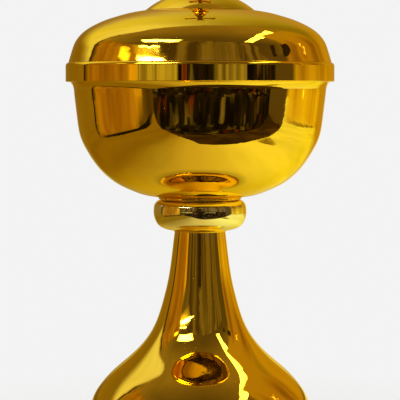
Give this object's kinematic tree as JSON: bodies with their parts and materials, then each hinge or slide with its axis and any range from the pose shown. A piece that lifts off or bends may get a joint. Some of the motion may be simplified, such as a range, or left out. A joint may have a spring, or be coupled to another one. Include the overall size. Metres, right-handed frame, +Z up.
{
  "type": "ciborium",
  "caption": "Covered bowl on a knopped stem and a bell-shaped foot, with a lift-off domed lid topped by a small cross.",
  "frame": {"origin": "centre of the underside of the foot's base ring", "axes": "+Z up the vessel's turning axis, X along the cross's arms, -Y towards the viewer"},
  "size_m": [0.128, 0.128, 0.2491],
  "materials": {
    "gold": "mirror-polished and gold-plated",
    "pale_gold": "mirror-polished, a paler plating than the rest",
    "bare_brass": "turned, unplated",
    "steel": "zinc-plated"
  },
  "bodies": {
    "vessel": {"base_ring": "gold", "foot_shell": "gold", "stem_disc": "bare_brass", "stem_collar": "gold", "tie_rod": "steel", "tie_washer": "steel", "tie_nut": "steel", "knop": "pale_gold", "knop_sleeve": "bare_brass", "neck_collar": "bare_brass", "bowl_base_disc": "gold", "bowl_socket": "bare_brass", "bowl": "gold", "bowl_rim_moulding": "gold"},
    "lid": {"lid_band": "gold", "lid_seat_ring": "gold", "lid_dome": "gold", "lid_crown": "gold", "finial_collar": "gold", "finial_ball": "gold", "finial_cross": "gold", "finial_stud": "steel", "finial_washer": "steel", "finial_nut": "steel"}
  },
  "joints": [
    {"name": "lid_lift", "type": "slide", "parent": "vessel", "child": "lid", "axis": [0, 0, 1], "range_m": [0, 0.15]}
  ]
}
